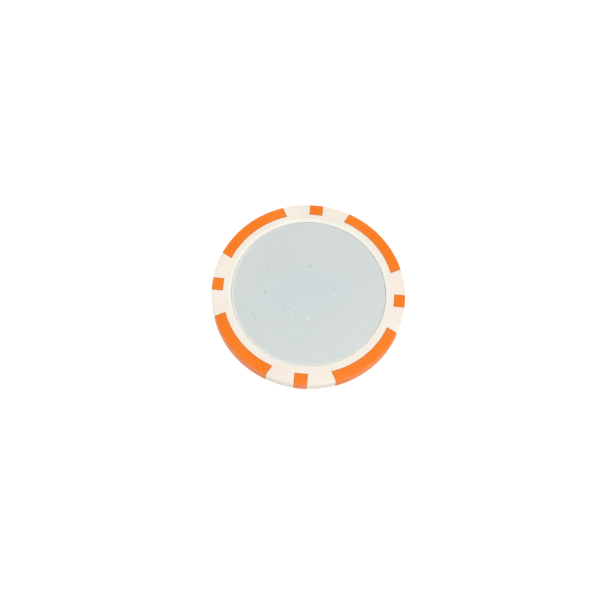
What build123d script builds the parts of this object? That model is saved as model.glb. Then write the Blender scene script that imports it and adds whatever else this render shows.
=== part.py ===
from build123d import *
import os
from math import sqrt

# Golf ball marker in the form of a thick two-colour chip. A steel weight is moulded
# into a coloured core, whose marks reach the edge, and a pale body is moulded over
# the core. Each face has a shallow recess that holds a label.
# Millimetres and degrees. The underside lies on Z = 0 and the axis of the chip is Z.

# Outside of the chip
chip_diameter = 40.0
chip_thickness = 3.3
edge_radius = 0.4  # rounding of both outer edges

# Rim and label recess, the same on both faces
rim_width = 3.35  # flat land that the chip rests and stacks on
lip_width = 0.675  # slope from the land down to the label's wall
recess_depth = 0.35
label_wall = 0.20  # height of the upright wall round the label

# Coloured marks: long stripes, with a short spot between each two
mark_pairs = 4
mark_length = 2.35  # how far every mark reaches in from the edge
stripe_half_angle = 25.15  # half a stripe, seen from the centre, at its inner edge
stripe_end_slant = 17.0  # lean of a stripe's ends from its middle line
spot_width = 2.72
mark_overrun = 1.0  # marks are drawn this far past the edge, then trimmed to it

# Inside the moulding
floor_skin = 0.30  # body plastic under the recess floor
lug_root = 0.45  # how far the core's hub reaches out beneath the marks
weight_cover = 0.25  # core plastic over each face of the weight
weight_wall = 3.1  # core plastic round the weight
weight_edge_radius = 0.2
locating_holes = 3  # left by the pins that hold the weight in the mould
locating_hole_diameter = 2.0
locating_hole_inset = 6.0  # from the edge of the weight

# Label on each face
label_gap = 0.10  # between the label and its wall
adhesive_thickness = 0.05
foil_thickness = 0.08
clear_thickness = 0.10

# Sizes that follow from those above
chip_radius = chip_diameter / 2
rim_inner_radius = chip_radius - rim_width
recess_radius = rim_inner_radius - lip_width
label_radius = recess_radius - label_gap
mark_inner_radius = chip_radius - mark_length
mark_cut_length = mark_length + mark_overrun
hub_radius = mark_inner_radius + lug_root
hub_thickness = chip_thickness - 2 * (recess_depth + floor_skin)
weight_radius = hub_radius - weight_wall
weight_thickness = hub_thickness - 2 * weight_cover
locating_circle_radius = weight_radius - locating_hole_inset
mid_plane = Plane.XY.offset(chip_thickness / 2)

os.makedirs("parts", exist_ok=True)


def save(piece, name):
    piece.part.label = name
    export_step(piece.part, f"parts/{name}.step")


# Full form of the moulded chip, which both plastics are trimmed to
with BuildPart() as chip_form:
    with BuildSketch(Plane.XZ) as half_section:
        with BuildLine():
            Polyline(
                (0, recess_depth),
                (recess_radius, recess_depth),
                (recess_radius, recess_depth - label_wall),
                (rim_inner_radius, 0),
                (chip_radius, 0),
                (chip_radius, chip_thickness),
                (rim_inner_radius, chip_thickness),
                (recess_radius, chip_thickness - recess_depth + label_wall),
                (recess_radius, chip_thickness - recess_depth),
                (0, chip_thickness - recess_depth),
                close=True,
            )
        make_face()
        fillet(half_section.vertices().group_by(Axis.X)[-1], edge_radius)
    revolve(axis=Axis.Z)

# Blanked steel disc that gives the marker its weight
with BuildPart(mid_plane) as steel_weight:
    Cylinder(weight_radius, weight_thickness)
    fillet(steel_weight.edges().filter_by(GeomType.CIRCLE), weight_edge_radius)

# Plan of one long stripe, about the X axis
with BuildSketch() as stripe:
    with BuildLine():
        inner_edge = CenterArc((0, 0), mark_inner_radius, -stripe_half_angle, 2 * stripe_half_angle)
        lower_end = PolarLine(inner_edge @ 0, mark_cut_length, -stripe_end_slant)
        upper_end = PolarLine(inner_edge @ 1, mark_cut_length, stripe_end_slant)
        RadiusArc(upper_end @ 1, lower_end @ 1, (upper_end @ 1).length)
    make_face()

# Plan of one short spot, whose inner corners lie on the stripes' inner circle
with BuildSketch() as spot:
    with Locations((sqrt(mark_inner_radius**2 - (spot_width / 2) ** 2), 0)):
        Rectangle(mark_cut_length, spot_width, align=(Align.MIN, Align.CENTER))

# First moulding: a hub round the weight, with a lug out to the edge for every mark
with BuildPart() as stripe_core:
    with BuildSketch(mid_plane):
        Circle(hub_radius)
    extrude(amount=hub_thickness / 2, both=True)
    with BuildSketch():
        with PolarLocations(0, mark_pairs, start_angle=180 / mark_pairs):
            add(stripe.sketch)
        with PolarLocations(0, mark_pairs):
            add(spot.sketch)
    extrude(amount=chip_thickness)
    add(chip_form.part, mode=Mode.INTERSECT)
    add(steel_weight.part, mode=Mode.SUBTRACT)
    with Locations(mid_plane):
        with PolarLocations(locating_circle_radius, locating_holes):
            Hole(locating_hole_diameter / 2)

# Second moulding: everything that the core and the weight leave, pegs in the holes too
with BuildPart() as chip_body:
    add(chip_form.part)
    add(stripe_core.part, mode=Mode.SUBTRACT)
    add(steel_weight.part, mode=Mode.SUBTRACT)

save(steel_weight, "steel_weight")
save(stripe_core, "stripe_core")
save(chip_body, "chip_body")

# Label of each face, laid up from the recess floor outwards
face_planes = {
    "front": Plane(origin=(0, 0, chip_thickness), z_dir=(0, 0, 1)),
    "back": Plane(origin=(0, 0, 0), z_dir=(0, 0, -1)),
}
label_layers = {
    "label_adhesive": adhesive_thickness,
    "label": foil_thickness,
    "clear_cover": clear_thickness,
}
for face, face_plane in face_planes.items():
    layer_height = -recess_depth
    for layer, layer_thickness in label_layers.items():
        with BuildPart() as label_layer:
            with BuildSketch(face_plane.offset(layer_height)):
                Circle(label_radius)
            extrude(amount=layer_thickness)
        save(label_layer, f"{face}_{layer}")
        layer_height += layer_thickness
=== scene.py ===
from math import atan2, cos, pi, radians, sin, tan

import bpy
from mathutils import Matrix, Vector


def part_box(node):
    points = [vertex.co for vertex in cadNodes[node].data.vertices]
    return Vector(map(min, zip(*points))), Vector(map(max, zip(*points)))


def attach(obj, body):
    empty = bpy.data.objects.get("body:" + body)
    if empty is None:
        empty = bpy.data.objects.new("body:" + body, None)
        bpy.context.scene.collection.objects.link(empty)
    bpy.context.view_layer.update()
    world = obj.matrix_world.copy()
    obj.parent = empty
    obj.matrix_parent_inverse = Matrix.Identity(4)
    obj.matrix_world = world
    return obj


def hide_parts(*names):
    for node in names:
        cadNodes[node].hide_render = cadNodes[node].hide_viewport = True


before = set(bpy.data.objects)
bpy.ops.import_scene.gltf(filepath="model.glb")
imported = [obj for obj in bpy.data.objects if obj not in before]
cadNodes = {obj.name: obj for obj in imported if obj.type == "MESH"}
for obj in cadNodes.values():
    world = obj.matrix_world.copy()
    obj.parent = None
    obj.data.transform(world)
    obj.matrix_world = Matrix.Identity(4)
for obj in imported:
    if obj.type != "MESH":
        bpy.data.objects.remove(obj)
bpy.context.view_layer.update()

scene = bpy.context.scene
mm = 0.001
body = "root"  # nothing on the chip moves, so every piece rides on the one body


def feed(tree, socket, value):
    # links another node's output to the socket, or sets a constant on it
    if isinstance(value, bpy.types.NodeSocket):
        tree.links.new(value, socket)
    else:
        socket.default_value = value


def addNode(tree, kind, inputs=None, **settings):
    made = tree.nodes.new(kind)
    for name, value in settings.items():
        setattr(made, name, value)
    for key, value in (inputs or {}).items():
        values = value if isinstance(value, list) else [value]  # a list is several meshes
        for each in values:
            feed(tree, made.inputs[key], each)
    return made


def calc(tree, operation, *values, clamp=False):
    settings = {"operation": operation, "use_clamp": clamp}
    return addNode(tree, "ShaderNodeMath", dict(enumerate(values)), **settings).outputs[0]


def vectorCalc(tree, operation, first, second, socket=1):
    inputs = {0: first, socket: second}
    return addNode(tree, "ShaderNodeVectorMath", inputs, operation=operation).outputs[0]


def newTree(name, inputs, outputs):
    tree = bpy.data.node_groups.new(name, "GeometryNodeTree")
    for label, kind in inputs.items():
        tree.interface.new_socket(label, in_out="INPUT", socket_type="NodeSocket" + kind)
    for label, kind in outputs.items():
        tree.interface.new_socket(label, in_out="OUTPUT", socket_type="NodeSocket" + kind)
    return tree, addNode(tree, "NodeGroupInput").outputs, addNode(tree, "NodeGroupOutput").inputs


def attribute(tree, name, kind="FLOAT"):
    found = addNode(tree, "GeometryNodeInputNamedAttribute", {"Name": name}, data_type=kind)
    return found.outputs["Attribute"]


def store(tree, geometry, name, value, kind="FLOAT", domain="POINT"):
    inputs = {"Geometry": geometry, "Name": name, "Value": value}
    made = addNode(tree, "GeometryNodeStoreNamedAttribute", inputs, data_type=kind, domain=domain)
    return made.outputs[0]


def axes(tree, place):
    return addNode(tree, "ShaderNodeSeparateXYZ", {0: place}).outputs


def vector(tree, x, y, z):
    return addNode(tree, "ShaderNodeCombineXYZ", {0: x, 1: y, 2: z}).outputs[0]


def lineMesh(name, points):
    # an open line in the XZ plane, through (radius, height) points
    mesh = bpy.data.meshes.new(name)
    edges = [(i, i + 1) for i in range(len(points) - 1)]
    mesh.from_pydata([(radius, 0, height) for radius, height in points], edges, [])
    return mesh


def addPlaces(mesh, name, points):
    layer = mesh.attributes.new(name, "FLOAT_VECTOR", "POINT")
    layer.data.foreach_set("vector", [value for x, z in points for value in (x, 0, z)])


# what the trees store on the way, which no material reads
workValues = ("pitchAngle", "side", "count", "hubPlace", "facing", "outerPlace", "outside", "mark", "turn")
sharpAngle = radians(32)  # an edge that turns more than this stays crisp
mergeDistance = 0.001 * mm


def growPiece(name, mesh, tree, settings):
    # runs a geometry node tree on a mesh, and keeps the result as a plain mesh
    raw = bpy.data.objects.new(name + "Raw", mesh)
    scene.collection.objects.link(raw)
    modifier = raw.modifiers.new("grow", "NODES")
    modifier.node_group = tree
    for item in tree.interface.items_tree:
        if item.name in settings:
            modifier[item.identifier] = settings[item.name]
    grown = raw.evaluated_get(bpy.context.evaluated_depsgraph_get())
    plain = bpy.data.meshes.new_from_object(grown)
    plain.name = name
    plain.set_sharp_from_angle(angle=sharpAngle)
    for spare in [each.name for each in plain.attributes if each.name in workValues]:
        plain.attributes.remove(plain.attributes[spare])
    piece = bpy.data.objects.new(name, plain)
    scene.collection.objects.link(piece)
    bpy.data.objects.remove(raw)
    return piece


def place(piece, slot, node):
    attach(piece, body)
    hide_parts(node)


def between(start, end, share):
    return tuple(a + (b - a) * share for a, b in zip(start, end))


def linePoints(start, end, steps):
    return [between(start, end, i / steps) for i in range(steps)]


def arcPoints(centre, radius, startAngle, endAngle, steps):
    # angle 0 is at the arc's top and 90 degrees is outwards, in (radius, depth) places
    angles = [startAngle + (endAngle - startAngle) * i / steps for i in range(steps)]
    return [(centre[0] + radius * sin(a), centre[1] - radius * cos(a)) for a in angles]


# The two mouldings share one section, turned round the axis. Its outer line is what shows,
# and its hub line, point for point beneath, is where the cream meets the orange hub.

coreLow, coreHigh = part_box("stripe_core")
chipRadius = (coreHigh.x - coreLow.x) / 2
chipBottom = coreLow.z
chipTop = coreHigh.z

mould = {
    "edgeRounding": 0.4 * mm,
    "partingRidge": 0.02 * mm,  # how proud the mould's parting line stands
    "partingWidth": 0.09 * mm,
    "partingShoulder": 0.7,  # how much of its height the ridge has halfway up its flank
    "rimWidth": 3.35 * mm,
    "lipWidth": 0.675 * mm,
    "lipRounding": 0.3 * mm,
    "wallRounding": 0.035 * mm,
    "recessDepth": 0.35 * mm,
    "labelWall": 0.2 * mm,  # the upright wall round the label
    "floorSkin": 0.3 * mm,
    "markLength": 2.35 * mm,
    "lugRoot": 0.45 * mm,
    "markPairs": 4,
    "stripeHalfAngle": radians(25.15),
    "stripeSlant": radians(17),
    "spotWidth": 2.72 * mm,
    "spotColumns": 8,  # in half a spot, as half of each mark and one gap make the pattern
    "gapColumns": 22,
    "stripeColumns": 34,
    "crowding": 0.8,  # how far columns draw in towards a mark's ends
    "seamWidth": 0.18 * mm,
    "seamDepth": 0.035 * mm,
    "pins": 3,
    "pinRadius": 1.0 * mm,
    "pinInset": 6.0 * mm,
    "pinOverrun": 0.1 * mm,
    "pinFaces": 48,
    "solver": "MANIFOLD",
}
sectionSteps = {  # how many pieces each stretch of the section is made of
    "floor": 3,
    "foot": 3,
    "wallCorner": 4,
    "slope": 4,
    "lipRounding": 4,
    "innerLand": 2,
    "seam": 8,
    "outerLand": 4,
    "edge": 9,
    "side": 3,
}
rimRadius = chipRadius - mould["rimWidth"]
recessRadius = rimRadius - mould["lipWidth"]
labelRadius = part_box("front_clear_cover")[1].x
markRadius = chipRadius - mould["markLength"]
hubRadius = markRadius + mould["lugRoot"]
hubDepth = mould["recessDepth"] + mould["floorSkin"]
sideRadius = chipRadius - mould["partingRidge"]
landEnd = sideRadius - mould["edgeRounding"]
halfHeight = (chipTop - chipBottom) / 2


def halfSection():
    # from the centre of a face to the middle of the side, as (radius, depth below the face)
    depth = mould["recessDepth"]
    wallTop = depth - mould["labelWall"]
    slope = atan2(wallTop, mould["lipWidth"])
    small = mould["wallRounding"]
    lip = mould["lipRounding"]
    lipEnd = rimRadius + lip * tan(slope / 2)
    edge = mould["edgeRounding"]
    seam = mould["seamWidth"]
    parting = mould["partingWidth"]
    steps = sectionSteps
    footCentre = (recessRadius - small, depth - small)
    footRing = (recessRadius - 3 * small, depth)  # keeps the floor's shading flat
    cornerCentre = (recessRadius + small, wallTop + small * tan((pi / 2 - slope) / 2))
    cornerEnd = arcPoints(cornerCentre, small, -slope, 0, 1)[0]
    lipArc = arcPoints((lipEnd, lip), lip, -slope, 0, steps["lipRounding"])
    line = linePoints((0, depth), footRing, steps["floor"])
    line.append(footRing)
    line += arcPoints(footCentre, small, pi, pi / 2, steps["foot"])
    line.append((recessRadius, footCentre[1]))
    line += arcPoints(cornerCentre, small, -pi / 2, -slope, steps["wallCorner"])
    line += linePoints(cornerEnd, lipArc[0], steps["slope"])
    line += lipArc
    line += linePoints((lipEnd, 0), (markRadius - seam, 0), steps["innerLand"])
    line += linePoints((markRadius - seam, 0), (markRadius + seam, 0), steps["seam"])
    line += linePoints((markRadius + seam, 0), (landEnd, 0), steps["outerLand"])
    line += arcPoints((landEnd, edge), edge, 0, pi / 2, steps["edge"])
    line += linePoints((sideRadius, edge), (sideRadius, halfHeight - parting), steps["side"])
    line.append((sideRadius, halfHeight - parting))
    shoulder = sideRadius + mould["partingRidge"] * mould["partingShoulder"]
    line.append((shoulder, halfHeight - parting / 2))
    line.append((chipRadius, halfHeight))
    return line


def hubPlace(radius, depth):
    # the place on the hub's line that belongs to a place on the outer line
    reach = min(radius, landEnd)
    if reach > markRadius:
        share = (reach - markRadius) / (landEnd - markRadius)
        reach = markRadius + share * (hubRadius - markRadius)
    if radius <= landEnd:
        return reach, hubDepth
    return reach, hubDepth + depth / halfHeight * (halfHeight - hubDepth)


def facing(line):
    # the outward direction at each point, from the points on either side of it
    directions = []
    for before, after in zip(line[:1] + line[:-1], line[1:] + line[-1:]):
        across = Vector((after[1] - before[1], before[0] - after[0])).normalized()
        directions.append(across)
    directions[-1] = Vector((1, 0))
    return directions


def bothHalves(points):
    # depths below the upper face become heights, and the lower half is the same upside down
    upper = [(radius, chipTop - depth) for radius, depth in points]
    lower = [(radius, chipBottom + depth) for radius, depth in points[:-1]]
    return upper + lower[::-1]


def bothFacings(directions):
    upper = [(outwards, -deeper) for outwards, deeper in directions]
    return upper + directions[:-1][::-1]


def mouldSection(name):
    line = halfSection()
    mesh = lineMesh(name, bothHalves(line))
    addPlaces(mesh, "hubPlace", bothHalves([hubPlace(*point) for point in line]))
    addPlaces(mesh, "facing", bothFacings(facing(line)))
    return mesh


def turnedSkin(tree, section, columns, columnValues):
    # Curve to Mesh turns the section round the axis; each column carries values for its place
    path = addNode(tree, "GeometryNodeCurvePrimitiveCircle", {"Resolution": columns}).outputs["Curve"]
    for name, value in columnValues.items():
        path = store(tree, path, name, value)
    here = addNode(tree, "GeometryNodeInputPosition").outputs[0]
    section = store(tree, section, "outerPlace", here, "FLOAT_VECTOR")
    line = addNode(tree, "GeometryNodeMeshToCurve", {"Mesh": section}).outputs[0]
    return addNode(tree, "GeometryNodeCurveToMesh", {"Curve": path, "Profile Curve": line}).outputs[0]


def turned(tree, place, angle):
    radius, _, height = axes(tree, place)
    x = calc(tree, "MULTIPLY", radius, calc(tree, "COSINE", angle))
    y = calc(tree, "MULTIPLY", radius, calc(tree, "SINE", angle))
    return vector(tree, x, y, height)


def moved(tree, geometry, position, selection=True):
    inputs = {"Geometry": geometry, "Selection": selection, "Position": position}
    return addNode(tree, "GeometryNodeSetPosition", inputs).outputs[0]


def merged(tree, geometry):
    inputs = {"Geometry": geometry, "Distance": mergeDistance}
    return addNode(tree, "GeometryNodeMergeByDistance", inputs).outputs[0]


def finished(tree, geometry, material, result):
    smooth = addNode(tree, "GeometryNodeSetShadeSmooth", {"Geometry": geometry}).outputs[0]
    real = addNode(tree, "GeometryNodeRealizeInstances", {"Geometry": smooth}).outputs[0]
    inputs = {"Geometry": real, "Material": material}
    painted = addNode(tree, "GeometryNodeSetMaterial", inputs).outputs[0]
    tree.links.new(painted, result["Geometry"])


def drawnIn(tree, share, crowding, waves):
    # how far a column stands from even spacing, so that columns crowd at a mark's ends
    wave = calc(tree, "SINE", calc(tree, "MULTIPLY", share, pi * waves))
    return calc(tree, "MULTIPLY", wave, calc(tree, "DIVIDE", crowding, pi * waves))


def columnAngle(tree, given, radius):
    # where a column stands, measured from the middle of the nearest spot
    outside = calc(tree, "MAXIMUM", radius, given["Mark radius"])
    halfSpot = calc(tree, "MULTIPLY", given["Spot width"], 0.5)
    spotEdge = calc(tree, "ARCSINE", calc(tree, "DIVIDE", halfSpot, outside))
    slant = given["Stripe slant"]
    lean = calc(tree, "SINE", calc(tree, "SUBTRACT", given["Stripe half angle"], slant))
    offset = calc(tree, "MULTIPLY", given["Mark radius"], lean)
    fromSlant = calc(tree, "ARCSINE", calc(tree, "DIVIDE", offset, outside))
    halfStripe = calc(tree, "ADD", slant, fromSlant)
    halfPitch = calc(tree, "DIVIDE", pi, given["Mark pairs"])
    stripeEdge = calc(tree, "SUBTRACT", halfPitch, halfStripe)
    gapWidth = calc(tree, "SUBTRACT", stripeEdge, spotEdge)
    left = attribute(tree, "count")
    angle = 0
    stretches = (  # columns, width, half waves of crowding, and which way the first one goes
        (given["Spot columns"], spotEdge, 1, "ADD"),
        (given["Gap columns"], gapWidth, 2, "SUBTRACT"),
        (given["Stripe columns"], halfStripe, 1, "SUBTRACT"),
    )
    for columns, width, waves, way in stretches:
        share = calc(tree, "DIVIDE", left, columns, clamp=True)
        share = calc(tree, way, share, drawnIn(tree, share, given["Crowding"], waves))
        angle = calc(tree, "MULTIPLY_ADD", share, width, angle)
        left = calc(tree, "SUBTRACT", left, columns)
    return angle, spotEdge, stripeEdge


def seamShare(tree, given, radius, angle, spotEdge, stripeEdge):
    # 1 on the line where the two plastics meet, falling to 0 at the seam's width from it
    fromSpot = calc(tree, "MULTIPLY", calc(tree, "SUBTRACT", angle, spotEdge), radius)
    fromStripe = calc(tree, "MULTIPLY", calc(tree, "SUBTRACT", stripeEdge, angle), radius)
    beside = calc(tree, "MINIMUM", fromSpot, fromStripe)
    inside = calc(tree, "SUBTRACT", given["Mark radius"], radius)
    outwards = [calc(tree, "MAXIMUM", each, 0) for each in (beside, inside)]
    squares = [calc(tree, "MULTIPLY", each, each) for each in outwards]
    corner = calc(tree, "SQRT", calc(tree, "ADD", *squares))
    within = calc(tree, "MINIMUM", calc(tree, "MAXIMUM", beside, inside), 0)
    distance = calc(tree, "ABSOLUTE", calc(tree, "ADD", corner, within))
    away = calc(tree, "DIVIDE", distance, given["Seam width"])
    return calc(tree, "MAXIMUM", calc(tree, "SUBTRACT", 1, away), 0)


mouldInputs = {
    "Geometry": "Geometry",
    "Mark pairs": "Int",
    "Mark radius": "Float",
    "Spot width": "Float",
    "Stripe half angle": "Float",
    "Stripe slant": "Float",
    "Spot columns": "Int",
    "Gap columns": "Int",
    "Stripe columns": "Int",
    "Crowding": "Float",
    "Seam width": "Float",
    "Seam depth": "Float",
    "Weight": "Object",
    "Pins": "Int",
    "Pin radius": "Float",
    "Pin length": "Float",
    "Pin circle": "Float",
    "Middle height": "Float",
    "Plastic": "Material",
}


def markedSkin(tree, given):
    # the hub's skin, whose points know where the chip's outside lies above them
    gapEnd = calc(tree, "ADD", given["Spot columns"], given["Gap columns"])
    halfColumns = calc(tree, "ADD", gapEnd, given["Stripe columns"])
    pitchColumns = calc(tree, "MULTIPLY", halfColumns, 2)
    index = addNode(tree, "GeometryNodeInputIndex").outputs[0]
    nearest = calc(tree, "ROUND", calc(tree, "DIVIDE", index, pitchColumns))
    fromNearest = calc(tree, "SUBTRACT", index, calc(tree, "MULTIPLY", nearest, pitchColumns))
    pitch = calc(tree, "DIVIDE", 2 * pi, given["Mark pairs"])
    columnValues = {
        "pitchAngle": calc(tree, "MULTIPLY", nearest, pitch),
        "side": calc(tree, "SIGN", fromNearest),
        "count": calc(tree, "ABSOLUTE", fromNearest),
    }
    columns = calc(tree, "MULTIPLY", pitchColumns, given["Mark pairs"])
    skin = turnedSkin(tree, given["Geometry"], columns, columnValues)

    outer = attribute(tree, "outerPlace", "FLOAT_VECTOR")
    outerRadius = axes(tree, outer)[0]
    angle, spotEdge, stripeEdge = columnAngle(tree, given, outerRadius)
    seam = seamShare(tree, given, outerRadius, angle, spotEdge, stripeEdge)
    turn = calc(tree, "MULTIPLY_ADD", angle, attribute(tree, "side"), attribute(tree, "pitchAngle"))
    sunk = calc(tree, "MULTIPLY", calc(tree, "MULTIPLY", seam, seam), given["Seam depth"])
    outwards = turned(tree, attribute(tree, "facing", "FLOAT_VECTOR"), turn)
    groove = vectorCalc(tree, "SCALE", outwards, sunk, "Scale")
    surface = vectorCalc(tree, "SUBTRACT", turned(tree, outer, turn), groove)
    skin = store(tree, skin, "outside", surface, "FLOAT_VECTOR")
    skin = store(tree, skin, "seam", seam)

    # a mark's faces lie beyond the mark radius, in the columns of a spot or a stripe
    count = attribute(tree, "count")
    inSpot = calc(tree, "LESS_THAN", count, given["Spot columns"])
    inStripe = calc(tree, "GREATER_THAN", count, gapEnd)
    beyond = calc(tree, "GREATER_THAN", outerRadius, given["Mark radius"])
    isMark = calc(tree, "MULTIPLY", beyond, calc(tree, "MAXIMUM", inSpot, inStripe))
    skin = store(tree, skin, "mark", isMark, "BOOLEAN", "FACE")

    hub = attribute(tree, "hubPlace", "FLOAT_VECTOR")
    hubAngle = columnAngle(tree, given, axes(tree, hub)[0])[0]
    hubTurn = calc(tree, "MULTIPLY_ADD", hubAngle, attribute(tree, "side"), attribute(tree, "pitchAngle"))
    return moved(tree, skin, turned(tree, hub, hubTurn))


def raised(tree, geometry, selection):
    # lifts faces from the hub to the outside, with walls round them
    inputs = {"Mesh": geometry, "Selection": selection, "Offset Scale": 0, "Individual": False}
    lifted = addNode(tree, "GeometryNodeExtrudeMesh", inputs, mode="FACES").outputs
    outside = attribute(tree, "outside", "FLOAT_VECTOR")
    return moved(tree, lifted["Mesh"], outside, lifted["Top"])


def pinsAndWeight(tree, given):
    inputs = {"Vertices": given["Pins"], "Radius": given["Pin circle"]}
    ring = addNode(tree, "GeometryNodeMeshCircle", inputs).outputs[0]
    inputs = {"Vertices": mould["pinFaces"], "Radius": given["Pin radius"], "Depth": given["Pin length"]}
    pin = addNode(tree, "GeometryNodeMeshCylinder", inputs).outputs["Mesh"]
    inputs = {"Geometry": ring, "Offset": vector(tree, 0, 0, given["Middle height"])}
    lifted = addNode(tree, "GeometryNodeSetPosition", inputs).outputs[0]
    inputs = {"Points": lifted, "Instance": pin}
    placed = addNode(tree, "GeometryNodeInstanceOnPoints", inputs).outputs[0]
    pins = addNode(tree, "GeometryNodeRealizeInstances", {"Geometry": placed}).outputs[0]
    weight = addNode(tree, "GeometryNodeObjectInfo", {"Object": given["Weight"]}).outputs["Geometry"]
    return pins, merged(tree, weight)


def combined(tree, operation, inputs):
    settings = {"operation": operation, "solver": mould["solver"]}
    return addNode(tree, "GeometryNodeMeshBoolean", inputs, **settings).outputs[0]


def cut(tree, mesh, cutters):
    return combined(tree, "DIFFERENCE", {"Mesh 1": mesh, "Mesh 2": cutters})


def joined(tree, meshes):
    return combined(tree, "UNION", {"Mesh 2": meshes})


def growCore():
    tree, given, result = newTree("coreMoulding", mouldInputs, {"Geometry": "Geometry"})
    isMark = attribute(tree, "mark", "BOOLEAN")
    solid = merged(tree, raised(tree, markedSkin(tree, given), isMark))
    pins, weight = pinsAndWeight(tree, given)
    finished(tree, cut(tree, solid, [pins, weight]), given["Plastic"], result)
    return tree


def growBody():
    tree, given, result = newTree("bodyMoulding", mouldInputs, {"Geometry": "Geometry"})
    inputs = {"Geometry": markedSkin(tree, given), "Selection": attribute(tree, "mark", "BOOLEAN")}
    inner = addNode(tree, "GeometryNodeDeleteGeometry", inputs, domain="FACE").outputs[0]
    outer = raised(tree, inner, True)
    lining = addNode(tree, "GeometryNodeFlipFaces", {"Mesh": inner}).outputs[0]
    both = addNode(tree, "GeometryNodeJoinGeometry", {"Geometry": [outer, lining]}).outputs[0]
    pins, weight = pinsAndWeight(tree, given)
    solid = joined(tree, [merged(tree, both), cut(tree, pins, [weight])])
    finished(tree, solid, given["Plastic"], result)
    return tree


def growMouldings():
    weightLow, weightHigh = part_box("steel_weight")
    weightRadius = (weightHigh.x - weightLow.x) / 2
    hubHeight = 2 * (halfHeight - hubDepth)
    settings = {
        "Mark pairs": mould["markPairs"],
        "Mark radius": markRadius,
        "Spot width": mould["spotWidth"],
        "Stripe half angle": mould["stripeHalfAngle"],
        "Stripe slant": mould["stripeSlant"],
        "Spot columns": mould["spotColumns"],
        "Gap columns": mould["gapColumns"],
        "Stripe columns": mould["stripeColumns"],
        "Crowding": mould["crowding"],
        "Seam width": mould["seamWidth"],
        "Seam depth": mould["seamDepth"],
        "Weight": cadNodes["steel_weight"],
        "Pins": mould["pins"],
        "Pin radius": mould["pinRadius"],
        "Pin length": hubHeight + 2 * mould["pinOverrun"],
        "Pin circle": weightRadius - mould["pinInset"],
        "Middle height": (chipTop + chipBottom) / 2,
    }
    settings["Plastic"] = orangePlastic
    core = growPiece("stripeCore", mouldSection("coreSection"), growCore(), settings)
    place(core, "orange_plastic", "stripe_core")
    settings["Plastic"] = creamPlastic
    chip = growPiece("chipBody", mouldSection("bodySection"), growBody(), settings)
    place(chip, "cream_plastic", "chip_body")


# Label layers: each is a disc whose edge was rounded a little by the die that cut it

label = {
    "columns": 256,
    "edgeRounding": {"label": 0.02 * mm, "clear_cover": 0.045 * mm, "label_adhesive": 0.015 * mm},
    "inset": {"label": 0.2 * mm, "clear_cover": 0, "label_adhesive": 0.12 * mm},  # from the cover's edge
    "rings": 3,  # across the flat of a layer
    "edgeSteps": 5,
    "airGap": 0.004 * mm,  # between the film and its cover
    "stackShift": Vector((0.02, 0.045, 0)) * mm,  # laid by hand, a little off the recess's centre
    "filmShift": Vector((0.11, 0.035, 0)) * mm,  # and the film was cut off its cover's centre
}


def discSection(name, radius, low, high, rounding):
    steps = label["edgeSteps"]
    quarter = [pi / 2 * step / steps for step in range(steps + 1)]
    inside = radius - rounding
    flat = radius - 2 * rounding  # a ring just inside the rounding keeps the flat's shading flat
    line = linePoints((0, high), (flat, high), label["rings"])
    line.append((flat, high))
    line += [(inside + rounding * sin(a), high - rounding + rounding * cos(a)) for a in quarter]
    line += [(inside + rounding * cos(a), low + rounding - rounding * sin(a)) for a in quarter]
    line += linePoints((flat, low), (0, low), label["rings"])
    line.append((0, low))
    return lineMesh(name, line)


def growDisc():
    sockets = {"Geometry": "Geometry", "Columns": "Int", "Shift": "Vector", "Film": "Material"}
    tree, given, result = newTree("turnedDisc", sockets, {"Geometry": "Geometry"})
    index = addNode(tree, "GeometryNodeInputIndex").outputs[0]
    turn = calc(tree, "MULTIPLY", index, calc(tree, "DIVIDE", 2 * pi, given["Columns"]))
    disc = turnedSkin(tree, given["Geometry"], given["Columns"], {"turn": turn})
    outer = attribute(tree, "outerPlace", "FLOAT_VECTOR")
    where = vectorCalc(tree, "ADD", turned(tree, outer, attribute(tree, "turn")), given["Shift"])
    finished(tree, merged(tree, moved(tree, disc, where)), given["Film"], result)
    return tree


def growLabels():
    discTree = growDisc()
    films = {
        "label": ("Label", silverFilm, "silver_film"),
        "clear_cover": ("ClearCover", clearFilm, "clear_film"),
        "label_adhesive": ("LabelAdhesive", labelAdhesive, "label_adhesive"),
    }
    for face in ("front", "back"):
        for layer, (title, film, slot) in films.items():
            node = f"{face}_{layer}"
            low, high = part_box(node)
            radius = (high.x - low.x) / 2 - label["inset"][layer]
            gap = label["airGap"] if layer == "label" else 0
            section = discSection(node, radius, low.z + gap, high.z - gap, label["edgeRounding"][layer])
            shift = label["stackShift"].copy()
            if layer == "label":
                shift += label["filmShift"]
            settings = {"Columns": label["columns"], "Shift": shift, "Film": film}
            place(growPiece(face + title, section, discTree, settings), slot, node)


# Bubbles and grains caught under the clear cover, which lift it a little

specks = {
    "count": {"front": 20, "back": 8},
    "seed": {"front": 4, "back": 11},
    "reach": 15.2 * mm,  # how far out on the label they lie
    "radius": 0.22 * mm,
    "height": 0.07 * mm,
    "roundness": 2,
    "unevenness": 0.5,
}


def randomValue(tree, given, low, high, draw):
    # each draw has its own number, and only the sockets of the chosen type are enabled
    made = addNode(tree, "FunctionNodeRandomValue", data_type="FLOAT")
    values = {"Min": low, "Max": high, "Seed": calc(tree, "ADD", given["Seed"], draw)}
    for socket in made.inputs:
        if socket.enabled and socket.name in values:
            feed(tree, socket, values[socket.name])
    return next(socket for socket in made.outputs if socket.enabled)


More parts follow.
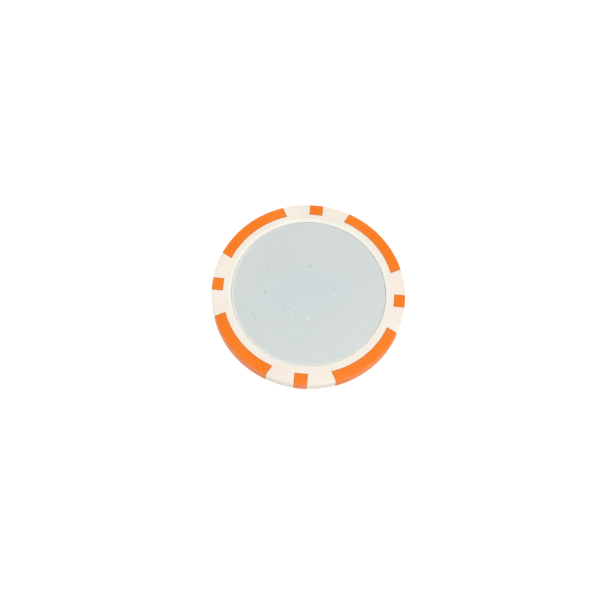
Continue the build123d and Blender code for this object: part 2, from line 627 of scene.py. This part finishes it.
def growSpecks():
    sockets = {
        "Geometry": "Geometry",
        "Count": "Int",
        "Seed": "Int",
        "Reach": "Float",
        "Level": "Float",
        "Radius": "Float",
        "Height": "Float",
        "Roundness": "Int",
        "Unevenness": "Float",
        "Film": "Material",
    }
    tree, given, result = newTree("caughtSpecks", sockets, {"Geometry": "Geometry"})
    outwards = calc(tree, "SQRT", randomValue(tree, given, 0, 1, 0))  # as many to each bit of area
    radius = calc(tree, "MULTIPLY", outwards, given["Reach"])
    turn = randomValue(tree, given, 0, 2 * pi, 1)
    where = turned(tree, vector(tree, radius, 0, given["Level"]), turn)
    inputs = {"Count": given["Count"], "Position": where}
    points = addNode(tree, "GeometryNodePoints", inputs).outputs[0]
    least = calc(tree, "SUBTRACT", 1, given["Unevenness"])
    width, length, rise = (randomValue(tree, given, least, 1, draw) for draw in (2, 3, 4))
    scale = vector(
        tree,
        calc(tree, "MULTIPLY", width, given["Radius"]),
        calc(tree, "MULTIPLY", length, given["Radius"]),
        calc(tree, "MULTIPLY", rise, given["Height"]),
    )
    inputs = {"Radius": 1, "Subdivisions": given["Roundness"]}
    grain = addNode(tree, "GeometryNodeMeshIcoSphere", inputs).outputs["Mesh"]
    inputs = {"Points": points, "Instance": grain, "Scale": scale}
    grains = addNode(tree, "GeometryNodeInstanceOnPoints", inputs).outputs[0]
    finished(tree, grains, given["Film"], result)
    return tree


def addSpecks():
    tree = growSpecks()
    for face in ("front", "back"):
        low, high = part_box(face + "_clear_cover")
        settings = {
            "Count": specks["count"][face],
            "Seed": specks["seed"][face],
            "Reach": specks["reach"],
            "Level": high.z if face == "front" else low.z,
            "Radius": specks["radius"],
            "Height": specks["height"],
            "Roundness": specks["roundness"],
            "Unevenness": specks["unevenness"],
            "Film": speckFilm,
        }
        piece = growPiece(face + "Specks", bpy.data.meshes.new(face + "SpeckPoints"), tree, settings)
        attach(piece, body)


# Materials, in object coordinates

def newMaterial(name):
    material = bpy.data.materials.new(name)
    material.use_nodes = True
    tree = material.node_tree
    tree.nodes.clear()
    place = addNode(tree, "ShaderNodeTexCoord").outputs["Object"]
    shader = addNode(tree, "ShaderNodeBsdfPrincipled")
    output = addNode(tree, "ShaderNodeOutputMaterial")
    tree.links.new(shader.outputs[0], output.inputs["Surface"])
    return material, tree, place, shader


def setShader(tree, shader, inputs):
    for name, value in inputs.items():
        feed(tree, shader.inputs[name], value)


def noise(tree, place, size, detail=2.0, stretch=(1, 1, 1), turn=0):
    if stretch != (1, 1, 1):
        inputs = {"Vector": place, "Rotation": (0, 0, radians(turn)), "Scale": stretch}
        place = addNode(tree, "ShaderNodeMapping", inputs).outputs[0]
    inputs = {"Vector": place, "Scale": 1 / size, "Detail": detail}
    return addNode(tree, "ShaderNodeTexNoise", inputs).outputs[0]


def ramp(tree, value, low, high, start=0.0, end=1.0):
    inputs = {0: value, 1: low, 2: high, 3: start, 4: end}
    return addNode(tree, "ShaderNodeMapRange", inputs, clamp=True).outputs[0]


def mixed(tree, share, first, second):
    inputs = {0: share, 6: first, 7: second}  # 6 and 7 are the node's two colours
    return addNode(tree, "ShaderNodeMix", inputs, data_type="RGBA").outputs[2]


def bumps(tree, layers):
    normal = None
    for height, depth in layers:
        inputs = {"Height": height, "Distance": depth}
        if normal:
            inputs["Normal"] = normal
        normal = addNode(tree, "ShaderNodeBump", inputs).outputs[0]
    return normal


def fromAxis(tree, place):
    x, y, _ = axes(tree, place)
    return calc(tree, "SQRT", calc(tree, "MULTIPLY_ADD", x, x, calc(tree, "MULTIPLY", y, y)))


scratchShape = {
    "stretch": (1, 0.03, 0.3),  # fine across and long the other way
    "edge": 0.05,
}


def scuffs(tree, place, size, turns, least):
    # fine straight scratches in a few directions, 1 on a scratch and 0 off it
    total = 0
    for turn in turns:
        line = noise(tree, place, size, 1.0, scratchShape["stretch"], turn)
        scratch = ramp(tree, line, least, least + scratchShape["edge"])
        total = calc(tree, "MAXIMUM", total, scratch)
    return total


plasticLooks = {
    "cream": {
        "colour": (0.83, 0.745, 0.642, 1),
        "cloudColour": (0.86, 0.785, 0.688, 1),
        "seamColour": (0.50, 0.36, 0.24, 1),
        "wornColour": (0.86, 0.81, 0.74, 1),
        "roughness": (0.36, 0.50),
        "seamShade": 0.12,
        "lipSheenColour": (0.835, 0.82, 0.745, 1),  # painted highlight: the lip, its wall and the recess floor are painted whiter for the light the lip catches
        # painted shade for the chip's side
        "sideShadeColour": (0.735, 0.69, 0.575, 1),
    },
    "orange": {
        "colour": (0.87, 0.178, 0.004, 1),
        "cloudColour": (0.89, 0.20, 0.008, 1),
        "seamColour": (0.42, 0.10, 0.012, 1),
        "wornColour": (0.92, 0.27, 0.07, 1),
        "roughness": (0.33, 0.47),
        "seamShade": 0.9,
        "lipSheenColour": (0.87, 0.178, 0.004, 1),
        "sideShadeColour": (0.74, 0.165, 0.006, 1),
    },
}
plasticSurface = {
    "specular": 0.25,
    "cloudSize": 7 * mm,
    "cloudRange": (0.35, 0.65),
    "grainSize": 0.14 * mm,
    "grainDepth": 0.006 * mm,
    "flowSize": 2.2 * mm,
    "flowDepth": 0.004 * mm,
    "dullRange": (0.2, 0.8),  # of cloud and grain together
    "scuffSize": 0.16 * mm,
    "scuffTurns": (12, 64, 121, 160),
    "scuffLeast": 0.68,
    "scuffDepth": -0.003 * mm,
    "scuffShade": 0.25,
    "scuffDulling": 0.12,
    "wornWidth": 0.25 * mm,
    "wornRange": (0.42, 0.62),
    "wornShade": 0.6,
    # how softly the painted highlight on the lip comes in at the rim
    "lipSheenBlend": 0.15 * mm,
    "sideShadeDepth": (0.35 * mm, 1.1 * mm),  # below the face, where the side is painted darker as painted shade
    "sideShadeInset": (0.2 * mm, 0.35 * mm),  # out from the land's end
    "gapShadeColour": (0.56, 0.54, 0.47, 1),  # painted shade in the gap round the label
    "gapShadeLift": (0.05 * mm, 0.02 * mm),  # above the recess floor
    "gapShadeInside": (0.06 * mm, 0.03 * mm),  # in from the label's edge
    "gapShadeOutside": (0.1 * mm, 0.05 * mm),  # out from the wall
}


def shadedSide(tree, below, outwards):
    # painted shade: the side is painted darker going down from the face, where less light falls on it
    deep = ramp(tree, below, *plasticSurface["sideShadeDepth"])
    return calc(tree, "MULTIPLY", deep, ramp(tree, outwards, *plasticSurface["sideShadeInset"]))


def gapShade(tree, below, radius):
    # painted shade: darkens the recess floor in the narrow gap between the label's edge and the wall
    floor = [mould["recessDepth"] - lift for lift in plasticSurface["gapShadeLift"]]
    inner = [labelRadius - inset for inset in plasticSurface["gapShadeInside"]]
    outer = [recessRadius + outset for outset in plasticSurface["gapShadeOutside"]]
    gapShadow = calc(tree, "MULTIPLY", ramp(tree, below, *floor), ramp(tree, radius, *inner))
    return calc(tree, "MULTIPLY", gapShadow, ramp(tree, radius, *outer))


def mouldedPlastic(name, look):
    material, tree, place, shader = newMaterial(name)
    surface = plasticSurface
    cloud = ramp(tree, noise(tree, place, surface["cloudSize"], 3.0), *surface["cloudRange"])
    grain = noise(tree, place, surface["grainSize"], 3.0)
    flow = noise(tree, place, surface["flowSize"])
    scratch = scuffs(tree, place, surface["scuffSize"], surface["scuffTurns"], surface["scuffLeast"])
    seam = addNode(tree, "ShaderNodeAttribute", attribute_name="seam").outputs["Fac"]

    radius = fromAxis(tree, place)
    outwards = calc(tree, "SUBTRACT", radius, landEnd)
    height = calc(tree, "SUBTRACT", axes(tree, place)[2], chipBottom + halfHeight)
    fromMiddle = calc(tree, "ABSOLUTE", height)
    below = calc(tree, "SUBTRACT", halfHeight, fromMiddle)
    upwards = calc(tree, "SUBTRACT", fromMiddle, halfHeight - mould["edgeRounding"])
    edge = ramp(tree, calc(tree, "MINIMUM", outwards, upwards), 0, surface["wornWidth"])
    worn = calc(tree, "MULTIPLY", edge, ramp(tree, flow, *surface["wornRange"]))
    # painted highlight mask: 1 inside the rim, on the lip, its wall and the recess floor
    lip = ramp(tree, radius, rimRadius + surface["lipSheenBlend"], rimRadius - surface["lipSheenBlend"])

    colour = mixed(tree, cloud, look["colour"], look["cloudColour"])
    # the lip's coat is a painted highlight, and the side's and the gap's coats are painted shade
    coats = (
        (lip, look["lipSheenColour"]),
        (shadedSide(tree, below, outwards), look["sideShadeColour"]),
        (gapShade(tree, below, radius), surface["gapShadeColour"]),
        (calc(tree, "MULTIPLY", worn, surface["wornShade"]), look["wornColour"]),
        (calc(tree, "MULTIPLY", scratch, surface["scuffShade"]), look["wornColour"]),
        (calc(tree, "MULTIPLY", seam, look["seamShade"]), look["seamColour"]),
    )
    for share, coat in coats:
        colour = mixed(tree, share, colour, coat)

    halves = [calc(tree, "MULTIPLY", each, 0.5) for each in (cloud, grain)]
    dull = ramp(tree, calc(tree, "ADD", *halves), *surface["dullRange"], *look["roughness"])
    layers = (
        (flow, surface["flowDepth"]),
        (grain, surface["grainDepth"]),
        (scratch, surface["scuffDepth"]),
    )
    setShader(tree, shader, {
        "Base Color": colour,
        "Roughness": calc(tree, "MULTIPLY_ADD", scratch, surface["scuffDulling"], dull),
        "Specular IOR Level": surface["specular"],
        "Normal": bumps(tree, layers),
    })
    return material


filmLook = {
    "colour": (0.62, 0.70, 0.715, 1),
    "edgeColour": (0.685, 0.725, 0.69, 1),
    "edgeReach": (2 * mm, 15 * mm),  # from the axis, where the edge's colour comes in
    "cloudSize": 9 * mm,
    "cloudRange": (0.3, 0.7),
    "mottleColour": (0.52, 0.57, 0.58, 1),
    "mottleShade": (0.0, 0.12),
    "mottleSize": 0.5 * mm,
    "mottleRange": (0.3, 0.7),
    "mottleDepth": 0.004 * mm,
    "lineSize": 0.12 * mm,
    "lineStretch": (1, 0.02, 1),
    "lineTurn": 8,
    "lineDepth": 0.002 * mm,
    "metallic": 0.4,
    "roughness": (0.36, 0.46),
}


def metallisedFilm(name):
    material, tree, place, shader = newMaterial(name)
    look = filmLook
    cloud = ramp(tree, noise(tree, place, look["cloudSize"]), *look["cloudRange"])
    mottle = noise(tree, place, look["mottleSize"], 4.0)
    lines = noise(tree, place, look["lineSize"], 2.0, look["lineStretch"], look["lineTurn"])
    outwards = ramp(tree, fromAxis(tree, place), *look["edgeReach"])
    share = calc(tree, "MULTIPLY", calc(tree, "ADD", outwards, cloud), 0.5)
    colour = mixed(tree, share, look["colour"], look["edgeColour"])
    shade = ramp(tree, mottle, *look["mottleRange"], *look["mottleShade"])
    setShader(tree, shader, {
        "Base Color": mixed(tree, shade, colour, look["mottleColour"]),
        "Metallic": look["metallic"],
        "Roughness": ramp(tree, mottle, *look["mottleRange"], *look["roughness"]),
        "Normal": bumps(tree, ((mottle, look["mottleDepth"]), (lines, look["lineDepth"]))),
    })
    return material


coverLook = {
    "colour": (0.93, 0.96, 0.95, 1),
    "hazeColour": (0.86, 0.89, 0.88, 1),
    "hazeSize": 3 * mm,
    "hazeRange": (0.3, 0.7),
    "alpha": 0.12,
    "ior": 1.57,
    "roughness": (0.16, 0.26),
    "peelSize": 0.7 * mm,
    "peelDepth": 0.003 * mm,
    "scratchSize": 0.1 * mm,
    "scratchTurns": (31, 97),
    "scratchLeast": 0.7,
    "scratchDepth": -0.002 * mm,
    "scratchDulling": 0.2,
}


def clearPolyester(name):
    material, tree, place, shader = newMaterial(name)
    look = coverLook
    haze = noise(tree, place, look["hazeSize"], 3.0)
    peel = noise(tree, place, look["peelSize"], 1.0)
    scratch = scuffs(tree, place, look["scratchSize"], look["scratchTurns"], look["scratchLeast"])
    dull = ramp(tree, haze, *look["hazeRange"], *look["roughness"])
    setShader(tree, shader, {
        "Base Color": mixed(tree, haze, look["colour"], look["hazeColour"]),
        "Roughness": calc(tree, "MULTIPLY_ADD", scratch, look["scratchDulling"], dull),
        "IOR": look["ior"],
        "Alpha": look["alpha"],
        "Normal": bumps(tree, ((peel, look["peelDepth"]), (scratch, look["scratchDepth"]))),
    })
    return material


speckLook = {
    "shadedSpeckColour": (0.44, 0.48, 0.475, 1),
    "litSpeckColour": (0.84, 0.87, 0.86, 1),
    "litSpeckSize": 1.1 * mm,
    "litSpeckRange": (0.47, 0.55),
    "cloudSize": 0.3 * mm,
    "cloudRange": (0.3, 0.7),
    "cloudDepth": 0.01 * mm,
    "metallic": 0.15,
    "roughness": (0.08, 0.2),
}


def liftedFilm(name):
    # painted highlight and painted shade: a broad noise paints some specks whiter, for the lit side of a
    # bump, and some darker, for its shaded side, and all are glossier than the film
    material, tree, place, shader = newMaterial(name)
    look = speckLook
    kind = ramp(tree, noise(tree, place, look["litSpeckSize"], 1.0), *look["litSpeckRange"])
    cloud = noise(tree, place, look["cloudSize"], 3.0)
    setShader(tree, shader, {
        "Base Color": mixed(tree, kind, look["shadedSpeckColour"], look["litSpeckColour"]),
        "Metallic": look["metallic"],
        "Roughness": ramp(tree, cloud, *look["cloudRange"], *look["roughness"]),
        "Normal": bumps(tree, ((cloud, look["cloudDepth"]),)),
    })
    return material


adhesiveLook = {
    "colour": (0.84, 0.85, 0.78, 1),
    "cloudColour": (0.90, 0.91, 0.86, 1),
    "cloudSize": 1.6 * mm,
    "cloudRange": (0.35, 0.65),
    "cloudDepth": 0.01 * mm,
    "cellSize": 0.2 * mm,
    "cellRange": (0.3, 0.7),
    "cellDepth": 0.005 * mm,
    "roughness": (0.55, 0.8),
}


def tackyAdhesive(name):
    material, tree, place, shader = newMaterial(name)
    look = adhesiveLook
    cloud = noise(tree, place, look["cloudSize"], 4.0)
    cell = noise(tree, place, look["cellSize"])
    share = ramp(tree, cloud, *look["cloudRange"])
    setShader(tree, shader, {
        "Base Color": mixed(tree, share, look["colour"], look["cloudColour"]),
        "Roughness": ramp(tree, cell, *look["cellRange"], *look["roughness"]),
        "Normal": bumps(tree, ((cloud, look["cloudDepth"]), (cell, look["cellDepth"]))),
    })
    return material


steelLook = {
    "colour": (0.46, 0.47, 0.49, 1),
    "cloudColour": (0.56, 0.56, 0.57, 1),
    "cloudSize": 4 * mm,
    "cloudRange": (0.35, 0.65),
    "pitSize": 0.3 * mm,
    "pitRange": (0.3, 0.7),
    "pitDepth": 0.008 * mm,
    "rolledSize": 0.15 * mm,
    "rolledStretch": (1, 0.03, 1),
    "rolledTurn": 20,
    "rolledDepth": 0.003 * mm,
    "roughness": (0.32, 0.55),
}


def tumbledSteel(name):
    material, tree, place, shader = newMaterial(name)
    look = steelLook
    cloud = noise(tree, place, look["cloudSize"], 4.0)
    pits = noise(tree, place, look["pitSize"], 3.0)
    rolled = noise(tree, place, look["rolledSize"], 2.0, look["rolledStretch"], look["rolledTurn"])
    share = ramp(tree, cloud, *look["cloudRange"])
    setShader(tree, shader, {
        "Base Color": mixed(tree, share, look["colour"], look["cloudColour"]),
        "Metallic": 1.0,
        "Roughness": ramp(tree, pits, *look["pitRange"], *look["roughness"]),
        "Normal": bumps(tree, ((pits, look["pitDepth"]), (rolled, look["rolledDepth"]))),
    })
    return material


creamPlastic = mouldedPlastic("creamPlastic", plasticLooks["cream"])
orangePlastic = mouldedPlastic("orangePlastic", plasticLooks["orange"])
silverFilm = metallisedFilm("silverFilm")
clearFilm = clearPolyester("clearFilm")
speckFilm = liftedFilm("speckFilm")
labelAdhesive = tackyAdhesive("labelAdhesive")
weightSteel = tumbledSteel("weightSteel")
print("materials made")

growMouldings()
print("two mouldings grown")
growLabels()
print("label layers turned")
addSpecks()
print("specks placed")

steel = cadNodes["steel_weight"]
steel.data.materials.clear()
steel.data.materials.append(weightSteel)

# Camera, held a little anticlockwise of level, looking down at the chip

view = {
    "elevation": 68.47,
    "roll": 5.4,
    "distance": 279 * mm,
    "lens": 81.3,
    "sensor": 36,
    "nearest": 10 * mm,
    "furthest": 10,
    "aside": 1.798 * mm,  # the chip stands this far right of the frame's middle
    "above": 1.584 * mm,  # and this far above it
}


def addCamera():
    tilt = radians(view["elevation"])
    roll = radians(view["roll"])
    back = Vector((0, -cos(tilt), sin(tilt)))
    level = Vector((1, 0, 0))
    upright = back.cross(level)
    right = level * cos(roll) + upright * sin(roll)
    up = upright * cos(roll) - level * sin(roll)
    camera = bpy.data.objects.new("camera", bpy.data.cameras.new("camera"))
    camera.data.sensor_width = view["sensor"]
    camera.data.lens = view["lens"]
    camera.data.clip_start = view["nearest"]
    camera.data.clip_end = view["furthest"]
    where = Vector((0, 0, chipTop)) + back * view["distance"]
    where = where - right * view["aside"] - up * view["above"]
    camera.matrix_world = Matrix.Translation(where) @ Matrix((right, up, back)).transposed().to_4x4()
    scene.collection.objects.link(camera)
    scene.camera = camera


studio = {
    "backdrop": (1, 1, 1, 1),  # seen by the camera only, and lights nothing
    "horizon": (0.62, 0.62, 0.62, 1),
    "zenith": (0.42, 0.42, 0.43, 1),
    "zenithHeight": 0.9,
    "floorSize": 12.0,
    "floorGap": 0.02 * mm,
    "floorColour": (0.30, 0.30, 0.30, 1),
    "floorRoughness": 0.9,
    "floorGlow": 0.86,
    "glowColour": (1, 1, 1, 1),
    "keyPlace": (0.36, -0.30, 1.15),
    "keySize": 0.90,
    "keyPower": 10.5,
    "fillPlace": (-0.60, 0.42, 0.50),
    "fillSize": 0.50,
    "fillPower": 1.2,
}


def addSky():
    world = bpy.data.worlds.new("studioSky")
    world.use_nodes = True
    tree = world.node_tree
    tree.nodes.clear()
    height = axes(tree, addNode(tree, "ShaderNodeTexCoord").outputs["Generated"])[2]
    rise = ramp(tree, height, 0, studio["zenithHeight"])
    sky = mixed(tree, rise, studio["horizon"], studio["zenith"])
    lighting = addNode(tree, "ShaderNodeBackground", {"Color": sky})
    plain = addNode(tree, "ShaderNodeBackground", {"Color": studio["backdrop"]})
    seen = addNode(tree, "ShaderNodeLightPath").outputs["Is Camera Ray"]
    inputs = {0: seen, 1: lighting.outputs[0], 2: plain.outputs[0]}
    both = addNode(tree, "ShaderNodeMixShader", inputs)
    output = addNode(tree, "ShaderNodeOutputWorld")
    tree.links.new(both.outputs[0], output.inputs["Surface"])
    scene.world = world


def addFloor():
    half = studio["floorSize"] / 2
    mesh = bpy.data.meshes.new("floor")
    height = chipBottom - studio["floorGap"]
    corners = [(x * half, y * half, height) for x, y in ((-1, -1), (1, -1), (1, 1), (-1, 1))]
    mesh.from_pydata(corners, [], [(0, 1, 2, 3)])
    floor = bpy.data.objects.new("floor", mesh)
    scene.collection.objects.link(floor)
    material, tree, _, shader = newMaterial("floorPaper")
    setShader(tree, shader, {
        "Base Color": studio["floorColour"],
        "Roughness": studio["floorRoughness"],
        "Specular IOR Level": 0.0,
        "Emission Color": studio["glowColour"],
        "Emission Strength": studio["floorGlow"],
    })
    mesh.materials.append(material)


def addSoftbox(name):
    lamp = bpy.data.lights.new(name + "Light", "AREA")
    lamp.energy = studio[name + "Power"]
    lamp.size = studio[name + "Size"]
    softbox = bpy.data.objects.new(name + "Light", lamp)
    softbox.location = Vector(studio[name + "Place"])
    softbox.rotation_mode = "QUATERNION"
    softbox.rotation_quaternion = softbox.location.to_track_quat("Z", "Y")  # it shines at the chip
    scene.collection.objects.link(softbox)


addCamera()
addSky()
addFloor()
addSoftbox("key")
addSoftbox("fill")
scene.view_settings.view_transform = "Standard"
print("studio set")
